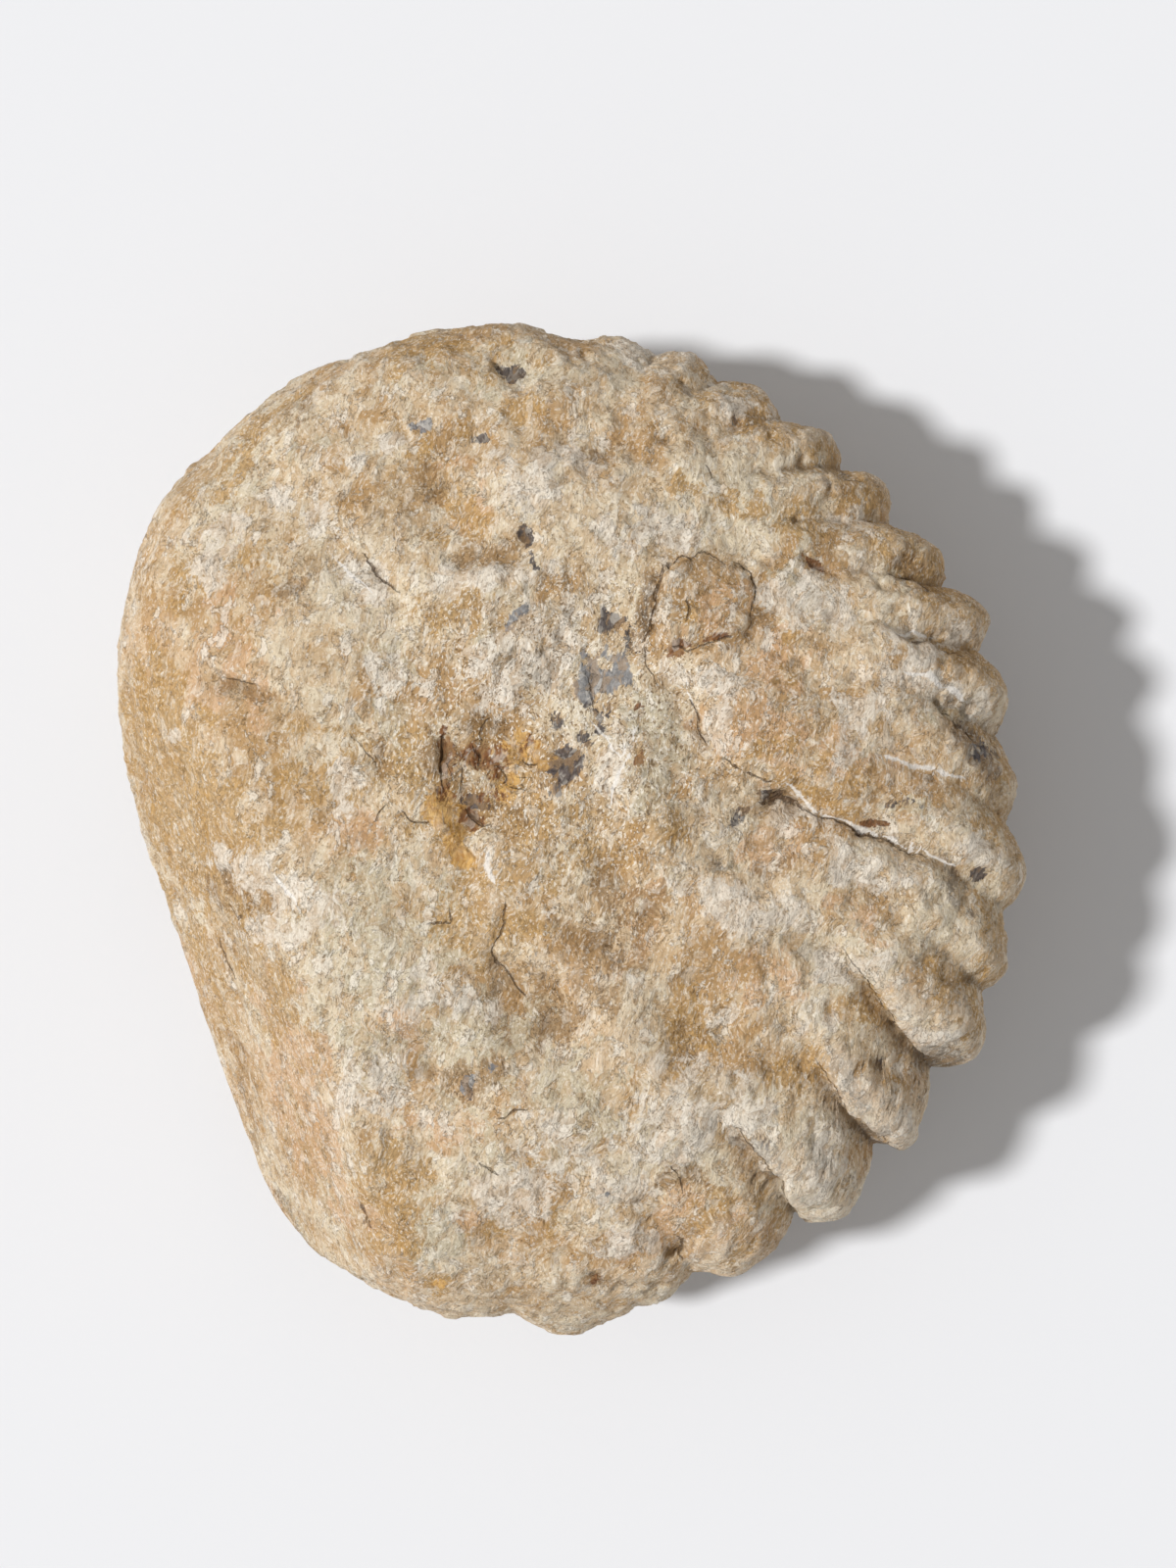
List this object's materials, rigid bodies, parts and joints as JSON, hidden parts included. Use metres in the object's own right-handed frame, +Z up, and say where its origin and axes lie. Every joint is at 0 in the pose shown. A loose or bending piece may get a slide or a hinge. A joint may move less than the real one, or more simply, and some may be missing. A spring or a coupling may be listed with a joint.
{
  "type": "ammonite fossil",
  "caption": "Coiled, ribbed ammonite fossil in tan limestone, lying on its flank, with a broken mouth end; a display stone.",
  "frame": {"origin": "middle of the footprint, on the surface that the fossil rests on", "axes": "+Z up through the thickness of the coil, +Y along the longest extent, +X towards the ribbed outer edge"},
  "size_m": [0.1339, 0.1497, 0.0604],
  "materials": {
    "stone": "dull weathered limestone"
  },
  "bodies": {
    "root": {"ammonite": "stone"}
  },
  "joints": []
}
